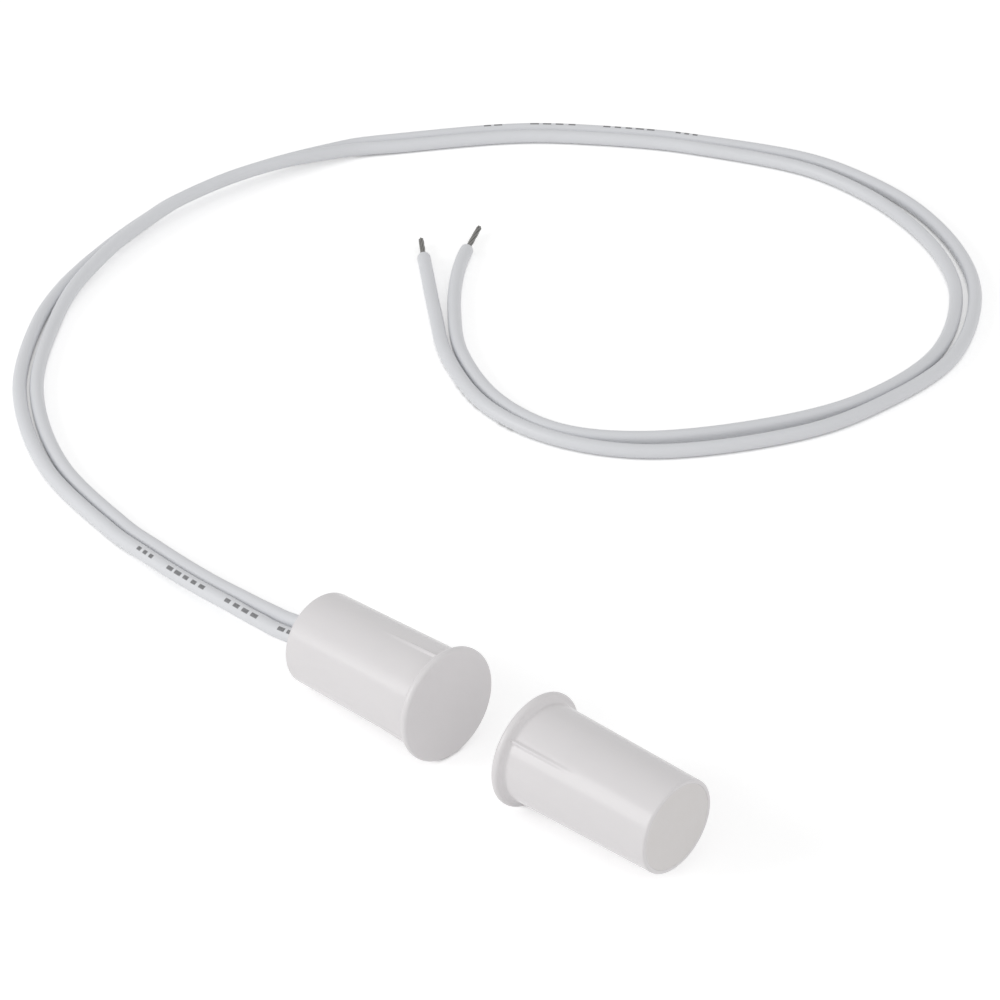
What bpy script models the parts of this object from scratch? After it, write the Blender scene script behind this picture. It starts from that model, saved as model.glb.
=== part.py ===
# Recessed magnetic contact: a flanged switch half with two leads, and a flanged magnet half.
# Lying on the floor as a pair, flanges facing each other. Metres, +Z up, +X from switch to magnet.
import math

import bmesh
import bpy
import numpy as np
from mathutils import Euler, Matrix, Vector

for old in list(bpy.data.objects):
    bpy.data.objects.remove(old, do_unlink=True)

MM = 0.001

# Cup, the same moulding for both halves
CUP_LENGTH = 16.85 * MM
FLANGE_RADIUS = 5.51 * MM
FLANGE_THICKNESS = 0.8 * MM
RIM_ROUND = 0.35 * MM
FLARE_LENGTH = 0.35 * MM
NECK_RADIUS = 4.76 * MM
TAPER = 0.26 * MM
END_RADIUS = NECK_RADIUS - TAPER
END_ROUND = 0.2 * MM
END_WALL = 0.4 * MM
BORE_RADIUS = END_RADIUS - END_WALL
FRONT_WALL = 1.2 * MM
RIB_LENGTH = 8.0 * MM
RIB_HEIGHT = 0.24 * MM
RIB_HALF_ANGLE = 3.6
RIB_COUNT = 3
SWITCH_RIB_ANGLE = 162.0
MAGNET_RIB_ANGLE = 131.0
CUP_SIDES = 72

# How the pair lies: middle of each flange's face, and the turn of each axis on the floor in degrees
SWITCH_X = -4.54 * MM
SWITCH_Y = -0.265 * MM
SWITCH_YAW = 2.92
MAGNET_X = 5.04 * MM
MAGNET_Y = 0.065 * MM
MAGNET_YAW = -0.33
# How far the switch half has rolled about its own axis, which lifts lead B over lead A
SWITCH_ROLL = 20.0
# Middle of the box round the two halves, which becomes the origin
MIDDLE_X = 0.1167 * MM
MIDDLE_Y = -0.0886 * MM

# Clearances
FIT = 0.02 * MM
POCKET_FIT = 0.04 * MM
RESIN_RECESS = 0.1 * MM

# Reed switch
GLASS_RADIUS = 0.9 * MM
GLASS_WALL = 0.26 * MM
GLASS_FRONT = 3.0 * MM
GLASS_FROM_BACK = 4.4 * MM
GLASS_SEAL = 0.9 * MM
LEAD_RADIUS = 0.21 * MM
BLADE_HALF_WIDTH = 0.42 * MM
BLADE_HALF_THICKNESS = 0.08 * MM
CONTACT_GAP = 0.08 * MM
CONTACT_OVERLAP = 1.2 * MM
LEAD_FROM_BACK = 3.12 * MM

# Leads
LEAD_SPACING = 1.7 * MM
WIRE_RADIUS = 0.725 * MM
FLOOR_HEIGHT = 0.74 * MM
CORE_RADIUS = 0.3 * MM
CORE_LENGTH = 1.0 * MM
SOLDER_RADIUS = 0.52 * MM
SOLDER_LENGTH = 1.5 * MM
BARE_RADIUS = 0.3 * MM
CORD_STEP = 4.05 * MM

# Magnet
MAGNET_RESIN = 1.1 * MM
MAGNET_RADIUS = BORE_RADIUS - MAGNET_RESIN
MAGNET_LENGTH = 12.0 * MM
MAGNET_CHAMFER = 0.2 * MM

# Route of the pair of leads in mm: middle x, middle y, height of A, half the sideways gap, lift of B
PAIR = [
    (-24.0, 0.54, 3.74, 0.80, 0.49),
    (-26.7, 0.68, 3.26, 0.79, 0.37),
    (-28.6, 0.98, 2.96, 0.79, 0.27),
    (-30.7, 1.26, 2.66, 0.79, 0.18),
    (-33.2, 1.62, 2.34, 0.78, 0.08),
    (-37.6, 2.08, 1.86, 0.78, 0.0),
    (-42.1, 2.63, 1.44, 0.78, 0.0),
    (-46.9, 3.34, 1.08, 0.78, 0.0),
    (-52.1, 4.2, 0.74, 0.78, 0.0),
    (-64.9, 7.6, 0.74, 0.81, 0.0),
    (-77.2, 15.5, 0.74, 0.86, 0.0),
    (-85.5, 25.7, 0.74, 0.85, 0.0),
    (-88.7, 31.7, 0.74, 0.73, 0.46),
    (-90.3, 36.3, 0.74, 0.68, 0.71),
    (-91.4, 40.5, 0.76, 0.62, 0.91),
    (-92.1, 44.4, 0.87, 0.61, 0.93),
    (-92.5, 48.1, 1.00, 0.60, 0.96),
    (-92.7, 50.9, 1.15, 0.60, 0.93),
    (-92.5, 55.4, 1.23, 0.61, 0.89),
    (-92.0, 59.5, 1.28, 0.63, 0.83),
    (-91.2, 63.5, 1.21, 0.64, 0.80),
    (-90.3, 67.3, 1.06, 0.67, 0.68),
    (-88.5, 72.9, 0.80, 0.75, 0.35),
    (-87.6, 75.0, 0.75, 0.77, 0.2),
    (-84.8, 79.1, 0.74, 0.78, 0.0),
    (-78.1, 88.0, 0.74, 0.78, 0.0),
    (-74.1, 92.0, 0.74, 0.78, 0.0),
    (-65.0, 98.5, 0.74, 0.78, 0.0),
    (-60.0, 101.2, 0.74, 0.83, 0.0),
    (-49.0, 105.7, 0.74, 1.05, 0.0),
    (-42.3, 106.3, 0.74, 1.11, 0.0),
    (-33.9, 105.0, 0.74, 1.22, 0.0),
    (-24.8, 100.8, 0.74, 1.11, 0.0),
    (-18.0, 94.6, 0.74, 1.00, 0.0),
    (-12.6, 83.7, 0.74, 0.90, 0.0),
    (-12.5, 72.5, 0.74, 0.85, 0.0),
    (-15.2, 63.2, 0.74, 1.22, 0.0),
    (-24.0, 50.4, 0.74, 1.24, 0.0),
    (-32.1, 45.6, 0.74, 0.79, 0.0),
    (-40.6, 45.5, 0.74, 0.82, 0.0),
    (-49.9, 49.8, 0.74, 0.81, 0.0),
]
# Where the two leads part, and their bare ends
A_END = [(-57.2, 54.7, 0.74), (-62.9, 59.7, 0.74), (-65.92, 62.36, 0.74)]
B_END = [(-56.0, 56.4, 0.74), (-60.0, 61.1, 0.74), (-62.4, 64.6, 0.74), (-63.57, 66.73, 0.74)]
A_TIP = (-68.54, 64.78, 0.74)
B_TIP = (-65.67, 70.91, 0.74)


def material(name, colour, roughness, metallic=0.0):
    mat = bpy.data.materials.new(name)
    mat.use_nodes = True
    shader = mat.node_tree.nodes["Principled BSDF"]
    shader.inputs["Base Color"].default_value = (*colour, 1.0)
    shader.inputs["Roughness"].default_value = roughness
    shader.inputs["Metallic"].default_value = metallic
    return mat


def solid(name, bm, mat, parent=None, smooth=35.0):
    bmesh.ops.recalc_face_normals(bm, faces=bm.faces)
    mesh = bpy.data.meshes.new(name)
    bm.to_mesh(mesh)
    bm.free()
    mesh.materials.append(mat)
    mesh.shade_smooth()
    mesh.set_sharp_from_angle(angle=math.radians(smooth))
    obj = bpy.data.objects.new(name, mesh)
    bpy.context.scene.collection.objects.link(obj)
    obj.parent = parent
    return obj


def ring_angles(count):
    return [2 * math.pi * k / count for k in range(count)]


def revolve(name, profile, mat, parent=None, angles=None, closed=False, bulge=None):
    """Turn a profile of (radius, depth) about local Z. Depth runs down from the front face."""
    angles = angles or ring_angles(48)
    bm = bmesh.new()
    rings = []
    for radius, depth in profile:
        if radius <= 0.0:
            rings.append([bm.verts.new((0.0, 0.0, -depth))])
            continue
        ring = []
        for angle in angles:
            r = bulge(angle, radius, depth) if bulge else radius
            ring.append(bm.verts.new((r * math.cos(angle), r * math.sin(angle), -depth)))
        rings.append(ring)
    pairs = list(zip(rings[:-1], rings[1:]))
    if closed:
        pairs.append((rings[-1], rings[0]))
    count = len(angles)
    for upper, lower in pairs:
        for j in range(count):
            k = (j + 1) % count
            if len(upper) == 1:
                bm.faces.new((upper[0], lower[j], lower[k]))
            elif len(lower) == 1:
                bm.faces.new((upper[j], lower[0], upper[k]))
            else:
                bm.faces.new((upper[j], lower[j], lower[k], upper[k]))
    return solid(name, bm, mat, parent)


def sweep(name, stations, mat, parent=None, grow=0.0, sides=12):
    """Loft an oval section along stations of (x, y, depth, half size along x, half size across)."""
    points = [Vector((s[0], s[1], -s[2])) for s in stations]
    bm = bmesh.new()
    rings = []
    for i, point in enumerate(points):
        before = points[max(i - 1, 0)]
        after = points[min(i + 1, len(points) - 1)]
        along = (after - before).normalized()
        if grow and i == 0:
            point = point - along * grow
        if grow and i == len(points) - 1:
            point = point + along * grow
        across = along.cross(Vector((1.0, 0.0, 0.0))).normalized()
        over = across.cross(along).normalized()
        half_x = stations[i][3] + grow
        half_across = stations[i][4] + grow
        ring = []
        for angle in ring_angles(sides):
            offset = over * (half_x * math.cos(angle)) + across * (half_across * math.sin(angle))
            ring.append(bm.verts.new(point + offset))
        rings.append(ring)
    for upper, lower in zip(rings[:-1], rings[1:]):
        for j in range(sides):
            k = (j + 1) % sides
            bm.faces.new((upper[j], lower[j], lower[k], upper[k]))
    bm.faces.new(rings[0])
    bm.faces.new(rings[-1])
    return solid(name, bm, mat, parent)


def cut(target, cutter):
    cutter.hide_render = True
    cutter.display_type = "WIRE"
    boolean = target.modifiers.new("cut " + cutter.name, "BOOLEAN")
    boolean.operation = "DIFFERENCE"
    boolean.solver = "EXACT"
    boolean.object = cutter


def rounding(radius, depth, size, start, end, steps):
    """Points on a quarter circle about (radius, depth), angles from the outward radius towards depth."""
    points = []
    for k in range(steps + 1):
        a = math.radians(start + (end - start) * k / steps)
        points.append((radius + size * math.cos(a), depth + size * math.sin(a)))
    return points


# The switch half lies on the rear edge of its rim and on its rounded end. The magnet half's axis is level.
rim_depth = FLANGE_THICKNESS - RIM_ROUND
span = CUP_LENGTH - END_ROUND - rim_depth
drop = (FLANGE_RADIUS - RIM_ROUND) - (END_RADIUS - END_ROUND)
SWITCH_TILT = math.atan2(drop, span) + math.asin((RIM_ROUND - END_ROUND) / math.hypot(drop, span))
MAGNET_TILT = 0.0

body_start = FLANGE_THICKNESS + FLARE_LENGTH
body_end = CUP_LENGTH - END_ROUND


def body_radius(depth):
    share = min(max((depth - body_start) / (body_end - body_start), 0.0), 1.0)
    return NECK_RADIUS + (END_RADIUS - NECK_RADIUS) * share


def cup_profile():
    points = [(0.0, 0.0)]
    points += rounding(FLANGE_RADIUS - RIM_ROUND, RIM_ROUND, RIM_ROUND, -90, 0, 4)
    points += rounding(FLANGE_RADIUS - RIM_ROUND, FLANGE_THICKNESS - RIM_ROUND, RIM_ROUND, 0, 90, 4)
    step = FLANGE_RADIUS - RIM_ROUND - NECK_RADIUS
    for share in (0.12, 0.3, 0.5, 0.75, 1.0):
        points.append((NECK_RADIUS + step * (1 - share) ** 2.2, FLANGE_THICKNESS + FLARE_LENGTH * share))
    for share in (0.2, 0.4, 0.6, 0.8, 1.0):
        depth = body_start + (RIB_LENGTH - body_start) * share
        points.append((body_radius(depth), depth))
    points += rounding(END_RADIUS - END_ROUND, body_end, END_ROUND, 0, 90, 5)
    points += [(BORE_RADIUS, CUP_LENGTH), (BORE_RADIUS, FRONT_WALL), (0.0, FRONT_WALL)]
    return points


def cup(name, mat, parent, first_rib):
    ribs = [math.radians(first_rib + 360.0 / RIB_COUNT * k) for k in range(RIB_COUNT)]
    half = math.radians(RIB_HALF_ANGLE)

    def away(angle):
        return min(abs((angle - rib + math.pi) % (2 * math.pi) - math.pi) for rib in ribs)

    angles = [a for a in ring_angles(CUP_SIDES) if away(a) > half * 1.15]
    for rib in ribs:
        for share in (-1.0, -0.62, -0.28, 0.0, 0.28, 0.62, 1.0):
            angles.append((rib + half * share) % (2 * math.pi))
    angles.sort()

    def bulge(angle, radius, depth):
        if radius <= BORE_RADIUS * 1.001 or depth < FLANGE_THICKNESS or depth > RIB_LENGTH:
            return radius
        share = (depth - FLANGE_THICKNESS) / (RIB_LENGTH - FLANGE_THICKNESS)
        height = RIB_HEIGHT * (1 - share)
        spread = away(angle) / half
        if spread >= 1.0:
            return radius
        crest = body_radius(depth) + height * math.cos(spread * math.pi / 2) ** 2
        return max(radius, crest)

    return revolve(name, cup_profile(), mat, parent, angles, bulge=bulge)


def half_frame(name, side):
    """Empty at the centre of the flange's front face, local Z out of that face, local X down before the roll."""
    empty = bpy.data.objects.new(name, None)
    bpy.context.scene.collection.objects.link(empty)
    if side > 0:
        x, y, tilt, turn = SWITCH_X, SWITCH_Y, SWITCH_TILT, -SWITCH_YAW
    else:
        x, y, tilt, turn = MAGNET_X, MAGNET_Y, MAGNET_TILT, 180.0 + MAGNET_YAW
    height = RIM_ROUND + rim_depth * math.sin(tilt) + (FLANGE_RADIUS - RIM_ROUND) * math.cos(tilt)
    empty.location = (x - MIDDLE_X, y - MIDDLE_Y, height)
    facing = Euler((0.0, math.pi / 2 - tilt, math.radians(turn))).to_matrix()
    roll = Matrix.Rotation(math.radians(SWITCH_ROLL if side > 0 else 0.0), 3, "Z")
    empty.rotation_euler = (facing @ roll).to_euler()
    return empty


def on_floor(row):
    """A row of the route in metres, moved with the pair's middle."""
    return [row[0] * MM - MIDDLE_X, row[1] * MM - MIDDLE_Y, *(v * MM for v in row[2:])]


def smooth_route(rows, steps=16):
    """Smooth curve through a list of rows, by cubic pieces that match slopes."""
    pts = np.array(rows, dtype=float)
    ext = np.vstack([2 * pts[0] - pts[1], pts, 2 * pts[-1] - pts[-2]])
    gaps = np.sqrt(np.linalg.norm(np.diff(ext[:, :2], axis=0), axis=1))
    t = np.concatenate([[0.0], np.cumsum(gaps)])
    out = []
    for i in range(1, len(ext) - 2):
        h0, h1, h2 = t[i] - t[i - 1], t[i + 1] - t[i], t[i + 2] - t[i + 1]
        m1 = (ext[i + 1] - ext[i]) + h1 * ((ext[i] - ext[i - 1]) / h0 - (ext[i + 1] - ext[i - 1]) / (h0 + h1))
        m2 = (ext[i + 1] - ext[i]) + h1 * ((ext[i + 2] - ext[i + 1]) / h2 - (ext[i + 2] - ext[i]) / (h1 + h2))
        for k in range(steps):
            u = k / steps
            a = 2 * u ** 3 - 3 * u ** 2 + 1
            b = u ** 3 - 2 * u ** 2 + u
            c = -2 * u ** 3 + 3 * u ** 2
            d = u ** 3 - u ** 2
            out.append(a * ext[i] + b * m1 + c * ext[i + 1] + d * m2)
    out.append(pts[-1])
    return np.array(out)


def resample(points, step):
    lengths = np.concatenate([[0.0], np.cumsum(np.linalg.norm(np.diff(points, axis=0), axis=1))])
    count = max(2, int(round(lengths[-1] / step)) + 1)
    at = np.linspace(0.0, lengths[-1], count)
    return np.stack([np.interp(at, lengths, points[:, k]) for k in range(3)], axis=1)


def lead_route(side, ending, frame):
    """Centreline of one lead. Side is -1 for A, on the left of the run, and +1 for B."""
    pair = smooth_route([on_floor(row) for row in PAIR])
    run = np.gradient(pair[:, :2], axis=0)
    run /= np.linalg.norm(run, axis=1)[:, None]
    right = np.stack([run[:, 1], -run[:, 0]], axis=1)
    line = pair[:, :3].copy()
    line[:, :2] += side * right * pair[:, 3:4]
    if side > 0:
        line[:, 2] += np.maximum(pair[:, 4], 0.0)
    line[:, 2] = np.maximum(line[:, 2], FLOOR_HEIGHT)
    start = frame @ Vector((0.0, side * LEAD_SPACING / 2, -INSULATION_START))
    mouth = frame @ Vector((0.0, side * LEAD_SPACING / 2, -(CUP_LENGTH + 0.3 * MM)))
    tail = [on_floor(p) for p in ending]
    rough = np.vstack([[list(mouth)], line[::16], tail])
    curve = resample(smooth_route(rough, 12), CORD_STEP)
    curve[:, 2] = np.maximum(curve[:, 2], FLOOR_HEIGHT)
    return np.vstack([[list(start)], curve])


def cord(name, points, radius, mat):
    data = bpy.data.curves.new(name, "CURVE")
    data.dimensions = "3D"
    data.bevel_depth = radius
    data.bevel_resolution = 2
    data.use_fill_caps = True
    spline = data.splines.new("POLY")
    spline.points.add(len(points) - 1)
    for point, place in zip(spline.points, points):
        point.co = (*place, 1.0)
    data.materials.append(mat)
    obj = bpy.data.objects.new(name, data)
    bpy.context.scene.collection.objects.link(obj)
    return obj


def bare_end(name, last, tip, mat):
    """Bare conductor from just past the insulation's end to the tip."""
    start = Vector(last)
    run = Vector(on_floor(tip)) - start
    length = run.length
    profile = [(0.0, POCKET_FIT), (BARE_RADIUS, POCKET_FIT)]
    profile += rounding(BARE_RADIUS * 0.4, length - BARE_RADIUS * 0.6, BARE_RADIUS * 0.6, 0, 90, 3)
    profile += [(0.0, length)]
    obj = revolve(name, profile, mat, angles=ring_angles(16))
    obj.location = start
    obj.rotation_euler = (-run).to_track_quat("Z", "Y").to_euler()
    return obj


white = material("white plastic", (0.84, 0.84, 0.83), 0.32)
resin = material("white resin", (0.78, 0.77, 0.74), 0.55)
glass = material("green glass", (0.62, 0.72, 0.66), 0.08)
reed = material("plated reed", (0.66, 0.64, 0.6), 0.3, 1.0)
solder = material("solder", (0.62, 0.62, 0.63), 0.35, 1.0)
tinned = material("tinned copper", (0.66, 0.66, 0.67), 0.35, 1.0)
jacket_a = material("white jacket A", (0.76, 0.77, 0.8), 0.42)
jacket_b = material("white jacket B", (0.76, 0.77, 0.8), 0.42)
ferrite = material("magnet alloy", (0.3, 0.3, 0.31), 0.45, 0.8)

# Switch half
switch = half_frame("switch half", 1)
cup("switch_housing", white, switch, SWITCH_RIB_ANGLE)

LEAD_END = CUP_LENGTH - LEAD_FROM_BACK
INSULATION_START = LEAD_END + FIT + CORE_LENGTH + FIT
resin_radius = BORE_RADIUS - FIT
resin_front = FRONT_WALL + FIT
resin_back = CUP_LENGTH - RESIN_RECESS
potting = revolve("switch_potting", [(0.0, resin_front), (resin_radius, resin_front),
                                     (resin_radius, resin_back), (0.0, resin_back)], resin, switch)

glass_y = LEAD_SPACING / 2
glass_back = CUP_LENGTH - GLASS_FROM_BACK
seal_hole = LEAD_RADIUS + FIT
inside = GLASS_RADIUS - GLASS_WALL
tube = [(seal_hole, GLASS_FRONT), (GLASS_RADIUS * 0.55, GLASS_FRONT)]
tube += rounding(GLASS_RADIUS * 0.55, GLASS_FRONT + GLASS_RADIUS * 0.45, GLASS_RADIUS * 0.45, -60, 0, 3)
tube += rounding(GLASS_RADIUS * 0.55, glass_back - GLASS_RADIUS * 0.45, GLASS_RADIUS * 0.45, 0, 60, 3)
tube += [(GLASS_RADIUS * 0.55, glass_back), (seal_hole, glass_back)]
tube += [(seal_hole, glass_back - GLASS_SEAL), (inside, glass_back - GLASS_SEAL - 0.3 * MM)]
tube += [(inside, GLASS_FRONT + GLASS_SEAL + 0.3 * MM), (seal_hole, GLASS_FRONT + GLASS_SEAL)]
reed_glass = revolve("reed_glass", tube, glass, switch, ring_angles(32), closed=True)
reed_glass.location = (0.0, glass_y, 0.0)

# Reeds: flat blades that overlap inside the glass, round leads outside it
middle = (GLASS_FRONT + glass_back) / 2
shift = BLADE_HALF_THICKNESS + CONTACT_GAP / 2
flat = (BLADE_HALF_THICKNESS, BLADE_HALF_WIDTH)
round_lead = (LEAD_RADIUS, LEAD_RADIUS)
front_seal = GLASS_FRONT + GLASS_SEAL
rear_seal = glass_back - GLASS_SEAL
front_path = [
    (shift, glass_y, middle + CONTACT_OVERLAP / 2, *flat),
    (shift, glass_y, front_seal + 1.0 * MM, *flat),
    (0.0, glass_y, front_seal + 0.15 * MM, *round_lead),
    (0.0, glass_y, GLASS_FRONT, *round_lead),
]
turn_depth = GLASS_FRONT - 0.4 * MM
turn = [(0.0, glass_y * math.cos(math.pi * k / 10), turn_depth - glass_y * math.sin(math.pi * k / 10),
         *round_lead) for k in range(11)]
back_path = [(0.0, -glass_y, LEAD_END, *round_lead)]
sweep("reed_blade_front", front_path + turn + back_path, reed, switch)
rear_path = [
    (-shift, glass_y, middle - CONTACT_OVERLAP / 2, *flat),
    (-shift, glass_y, rear_seal - 1.0 * MM, *flat),
    (0.0, glass_y, rear_seal - 0.15 * MM, *round_lead),
    (0.0, glass_y, LEAD_END, *round_lead),
]
sweep("reed_blade_rear", rear_path, reed, switch)

# Solder joints and stripped inner conductors
solder_front = LEAD_END - SOLDER_LENGTH / 2
solder_back = LEAD_END + SOLDER_LENGTH / 2
core_hole = CORE_RADIUS + FIT
for letter, y in (("a", -glass_y), ("b", glass_y)):
    round_size = SOLDER_RADIUS - core_hole
    joint = [(seal_hole, solder_front), (core_hole, solder_front)]
    joint += rounding(core_hole, solder_front + round_size, round_size, -60, 0, 3)
    joint += rounding(core_hole, solder_back - round_size, round_size, 0, 60, 3)
    joint += [(core_hole, solder_back), (core_hole, LEAD_END + FIT / 2), (seal_hole, LEAD_END + FIT / 2)]
    piece = revolve("solder_joint_" + letter, joint, solder, switch, ring_angles(20), closed=True)
    piece.location = (0.0, y, 0.0)
    core_start = LEAD_END + FIT
    core = revolve("wire_" + letter + "_core_inner",
                   [(0.0, core_start), (CORE_RADIUS, core_start),
                    (CORE_RADIUS, core_start + CORE_LENGTH), (0.0, core_start + CORE_LENGTH)],
                   tinned, switch, ring_angles(16))
    core.location = (0.0, y, 0.0)

# Pockets in the resin, all joined and open at the rear round the leads
pocket_radius = GLASS_RADIUS + POCKET_FIT
pocket = revolve("cutter glass", [(0.0, GLASS_FRONT - POCKET_FIT), (pocket_radius, GLASS_FRONT - POCKET_FIT),
                                  (pocket_radius, glass_back + POCKET_FIT), (0.0, glass_back + POCKET_FIT)],
                 resin, switch, ring_angles(32))
pocket.location = (0.0, glass_y, 0.0)
cut(potting, pocket)
lead_pocket = sweep("cutter lead", front_path[3:] + turn + back_path, resin, switch, grow=POCKET_FIT)
cut(potting, lead_pocket)
rear_pocket = sweep("cutter rear lead", rear_path[2:], resin, switch, grow=POCKET_FIT)
cut(potting, rear_pocket)
for letter, y in (("a", -glass_y), ("b", glass_y)):
    joint_radius = SOLDER_RADIUS + POCKET_FIT
    wire_radius = WIRE_RADIUS + POCKET_FIT
    step_depth = INSULATION_START - POCKET_FIT
    bore = revolve("cutter wire " + letter,
                   [(0.0, solder_front - POCKET_FIT), (joint_radius, solder_front - POCKET_FIT),
                    (joint_radius, step_depth), (wire_radius, step_depth),
                    (wire_radius, CUP_LENGTH + 1.0 * MM), (0.0, CUP_LENGTH + 1.0 * MM)],
                   resin, switch, ring_angles(24))
    bore.location = (0.0, y, 0.0)
    cut(potting, bore)

# Insulated leads and their bare ends
frame = Matrix.LocRotScale(switch.location, switch.rotation_euler, None)
route_a = lead_route(-1, A_END, frame)
route_b = lead_route(1, B_END, frame)
cord("wire_a", route_a, WIRE_RADIUS, jacket_a)
cord("wire_b", route_b, WIRE_RADIUS, jacket_b)
bare_end("wire_a_tip", route_a[-1], A_TIP, tinned)
bare_end("wire_b_tip", route_b[-1], B_TIP, tinned)

# Magnet half
magnet = half_frame("magnet half", -1)
cup("magnet_housing", white, magnet, MAGNET_RIB_ANGLE)
magnet_front = FRONT_WALL + FIT
magnet_back = magnet_front + MAGNET_LENGTH
revolve("bar_magnet",
        [(0.0, magnet_front), (MAGNET_RADIUS - MAGNET_CHAMFER, magnet_front),
         (MAGNET_RADIUS, magnet_front + MAGNET_CHAMFER), (MAGNET_RADIUS, magnet_back - MAGNET_CHAMFER),
         (MAGNET_RADIUS - MAGNET_CHAMFER, magnet_back), (0.0, magnet_back)], ferrite, magnet)
sleeve = MAGNET_RADIUS + POCKET_FIT
revolve("magnet_potting",
        [(0.0, magnet_back + POCKET_FIT), (sleeve, magnet_back + POCKET_FIT), (sleeve, resin_front),
         (resin_radius, resin_front), (resin_radius, resin_back), (0.0, resin_back)], resin, magnet)
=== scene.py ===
# Looks of a press-fit magnetic contact: a switch half with two loose leads and a matching magnet half.
# Everything is in metres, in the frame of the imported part: +Z up, +X from the switch to the magnet.
import math

import bmesh
import bpy
import numpy as np
from mathutils import Euler, Matrix, Vector


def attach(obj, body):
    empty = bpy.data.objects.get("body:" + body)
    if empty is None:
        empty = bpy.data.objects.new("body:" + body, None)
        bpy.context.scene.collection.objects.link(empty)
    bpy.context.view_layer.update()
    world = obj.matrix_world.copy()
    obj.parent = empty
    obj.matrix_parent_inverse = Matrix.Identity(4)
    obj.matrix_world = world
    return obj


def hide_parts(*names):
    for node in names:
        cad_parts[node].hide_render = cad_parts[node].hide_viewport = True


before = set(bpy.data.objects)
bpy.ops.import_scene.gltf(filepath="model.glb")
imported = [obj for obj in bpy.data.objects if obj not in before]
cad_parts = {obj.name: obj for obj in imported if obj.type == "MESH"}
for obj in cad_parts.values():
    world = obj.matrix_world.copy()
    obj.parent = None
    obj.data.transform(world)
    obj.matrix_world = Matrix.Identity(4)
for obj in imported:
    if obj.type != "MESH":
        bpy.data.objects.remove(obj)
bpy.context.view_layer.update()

bl_info = {
    "name": "Press-fit magnetic contact",
    "version": (1, 0),
    "blender": (4, 5, 0),
    "location": "View3D > Sidebar > Contact",
    "description": "Builds the looks of a recessed magnetic contact pair around its packed frame",
    "category": "Object",
}

MM = 0.001

# Route of the pair of leads in mm, as in the part. Each row has the middle's x and y, the height of
# lead A, half the sideways gap and the lift of lead B.
PAIR = [
    (-24.0, 0.54, 3.74, 0.80, 0.49), (-26.7, 0.68, 3.26, 0.79, 0.37), (-28.6, 0.98, 2.96, 0.79, 0.27),
    (-30.7, 1.26, 2.66, 0.79, 0.18), (-33.2, 1.62, 2.34, 0.78, 0.08), (-37.6, 2.08, 1.86, 0.78, 0.0),
    (-42.1, 2.63, 1.44, 0.78, 0.0), (-46.9, 3.34, 1.08, 0.78, 0.0), (-52.1, 4.2, 0.74, 0.78, 0.0),
    (-64.9, 7.6, 0.74, 0.81, 0.0), (-77.2, 15.5, 0.74, 0.86, 0.0), (-85.5, 25.7, 0.74, 0.85, 0.0),
    (-88.7, 31.7, 0.74, 0.73, 0.46), (-90.3, 36.3, 0.74, 0.68, 0.71), (-91.4, 40.5, 0.76, 0.62, 0.91),
    (-92.1, 44.4, 0.87, 0.61, 0.93), (-92.5, 48.1, 1.00, 0.60, 0.96), (-92.7, 50.9, 1.15, 0.60, 0.93),
    (-92.5, 55.4, 1.23, 0.61, 0.89), (-92.0, 59.5, 1.28, 0.63, 0.83), (-91.2, 63.5, 1.21, 0.64, 0.80),
    (-90.3, 67.3, 1.06, 0.67, 0.68), (-88.5, 72.9, 0.80, 0.75, 0.35), (-87.6, 75.0, 0.75, 0.77, 0.2),
    (-84.8, 79.1, 0.74, 0.78, 0.0), (-78.1, 88.0, 0.74, 0.78, 0.0), (-74.1, 92.0, 0.74, 0.78, 0.0),
    (-65.0, 98.5, 0.74, 0.78, 0.0), (-60.0, 101.2, 0.74, 0.83, 0.0), (-49.0, 105.7, 0.74, 1.05, 0.0),
    (-42.3, 106.3, 0.74, 1.11, 0.0), (-33.9, 105.0, 0.74, 1.22, 0.0), (-24.8, 100.8, 0.74, 1.11, 0.0),
    (-18.0, 94.6, 0.74, 1.00, 0.0), (-12.6, 83.7, 0.74, 0.90, 0.0), (-12.5, 72.5, 0.74, 0.85, 0.0),
    (-15.2, 63.2, 0.74, 1.22, 0.0), (-24.0, 50.4, 0.74, 1.24, 0.0), (-32.1, 45.6, 0.74, 0.79, 0.0),
    (-40.6, 45.5, 0.74, 0.82, 0.0), (-49.9, 49.8, 0.74, 0.81, 0.0),
]
# Printed marks on lead A: start of a group along the lead, pitch of its dashes, how many dashes, in mm
MARKS = [(4.2, 1.2, 2), (9.4, 1.4, 4), (17.6, 1.24, 5), (25.8, 0.97, 3)]
# Where the two leads part, and their bare ends, in mm
A_END = [(-57.2, 54.7, 0.74), (-62.9, 59.7, 0.74), (-65.92, 62.36, 0.74)]
B_END = [(-56.0, 56.4, 0.74), (-60.0, 61.1, 0.74), (-62.4, 64.6, 0.74), (-63.57, 66.73, 0.74)]
A_TIP = (-68.54, 64.78, 0.74)
B_TIP = (-65.67, 70.91, 0.74)
# How far the row of marks leans to lead A's left: place along the lead in mm, turn in degrees
A_LEAN = [(0.0, 29.0), (35.0, 27.0), (135.0, 8.0), (170.0, 4.0), (285.0, 150.0)]
B_LEAN = [(0.0, 0.0), (310.0, 0.0)]

# How finely the round shapes are cut
RIM_STEPS = 8
FLARE_STEPS = 18
BODY_STEPS = 60
END_STEPS = 10
LIP_STEPS = 5
CUP_SIDES = 192
RIB_STEPS = 12
RESIN_RINGS = 34
RESIN_SIDES = 160
LEAD_SIDES = 28
CUT_STEPS = 6
STRAND_SIDES = 14
STRAND_STEPS = 40
ROUTE_STEP = 0.38 * MM
SHARP = 34.0
STRAND_SHARP = 50.0

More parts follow.
